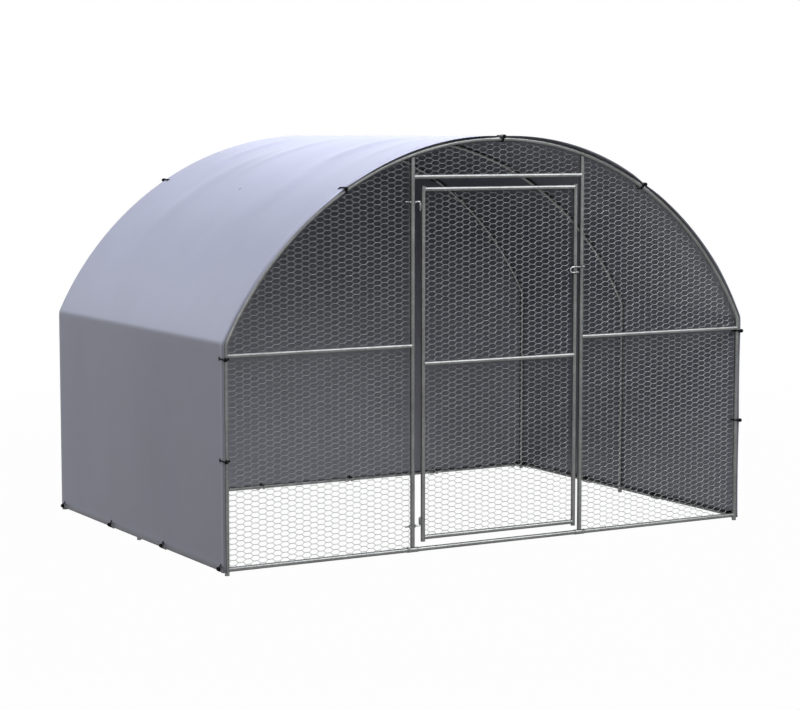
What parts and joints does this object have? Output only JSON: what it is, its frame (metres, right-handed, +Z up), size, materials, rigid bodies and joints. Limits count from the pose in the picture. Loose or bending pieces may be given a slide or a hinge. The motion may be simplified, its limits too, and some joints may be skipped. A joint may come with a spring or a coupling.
{
  "type": "walk-in poultry run",
  "caption": "Walk-in poultry run with arched tube hoops, six-sided wire netting and a latched door at the front, and a tied tarpaulin over the roof, sides and back.",
  "frame": {"origin": "on the ground, in the middle of the footprint", "axes": "+X to the right seen from the front, +Y to the back, +Z up; the door is at the front"},
  "size_m": [3.0126, 2.1308, 2.0209],
  "materials": {
    "galvanised_tube": "galvanised, satin",
    "zinc_hardware": "zinc plated",
    "wire_netting": "galvanised wire",
    "tarpaulin": "coated weave, faint sheen",
    "elastic_cord": "braided, matt",
    "ball_plastic": "smooth"
  },
  "bodies": {
    "frame": {"front_left_leg": "galvanised_tube", "front_right_leg": "galvanised_tube", "middle_left_leg": "galvanised_tube", "middle_right_leg": "galvanised_tube", "back_left_leg": "galvanised_tube", "back_right_leg": "galvanised_tube", "front_left_arch": "galvanised_tube", "front_right_arch": "galvanised_tube", "middle_left_arch": "galvanised_tube", "middle_right_arch": "galvanised_tube", "back_left_arch": "galvanised_tube", "back_right_arch": "galvanised_tube", "front_ridge_connector": "galvanised_tube", "middle_ridge_connector": "galvanised_tube", "back_ridge_connector": "galvanised_tube", "front_ridge_pole": "galvanised_tube", "back_ridge_pole": "galvanised_tube", "left_side_rail_front": "galvanised_tube", "left_side_rail_back": "galvanised_tube", "right_side_rail_front": "galvanised_tube", "right_side_rail_back": "galvanised_tube", "rear_rail_left": "galvanised_tube", "rear_rail_right": "galvanised_tube", "front_rail_left": "galvanised_tube", "door_sill": "galvanised_tube", "front_rail_right": "galvanised_tube", "left_post_tee": "galvanised_tube", "right_post_tee": "galvanised_tube", "hinge_post": "galvanised_tube", "latch_post": "galvanised_tube", "left_mid_rail": "galvanised_tube", "right_mid_rail": "galvanised_tube", "door_header": "galvanised_tube", "latch_keeper": "galvanised_tube", "upper_hinge_hook": "zinc_hardware", "lower_hinge_hook": "zinc_hardware", "hinge_nuts": "zinc_hardware", "front_net_left": "wire_netting", "front_net_right": "wire_netting", "front_net_top": "wire_netting", "cover_roof": "tarpaulin", "cover_left_wall": "tarpaulin", "cover_right_wall": "tarpaulin", "cover_back_wall": "tarpaulin", "tie_cords": "elastic_cord", "tie_balls": "ball_plastic"},
    "door": {"hinge_stile": "galvanised_tube", "latch_stile": "galvanised_tube", "door_bottom_rail": "galvanised_tube", "door_middle_rail": "galvanised_tube", "door_top_rail": "galvanised_tube", "upper_hinge_sleeve": "galvanised_tube", "lower_hinge_sleeve": "galvanised_tube", "latch_guides": "galvanised_tube", "door_net": "wire_netting"},
    "latch": {"latch_bolt": "zinc_hardware"}
  },
  "joints": [
    {"name": "door_hinge", "type": "hinge", "parent": "frame", "child": "door", "pos_m": [-0.4437, -1.03085, 0.9], "axis": [0, 0, -1], "range_deg": [0, 105]},
    {"name": "latch_slide", "type": "slide", "parent": "door", "child": "latch", "axis": [1, 0, 0], "range_m": [0, 0.014]}
  ]
}
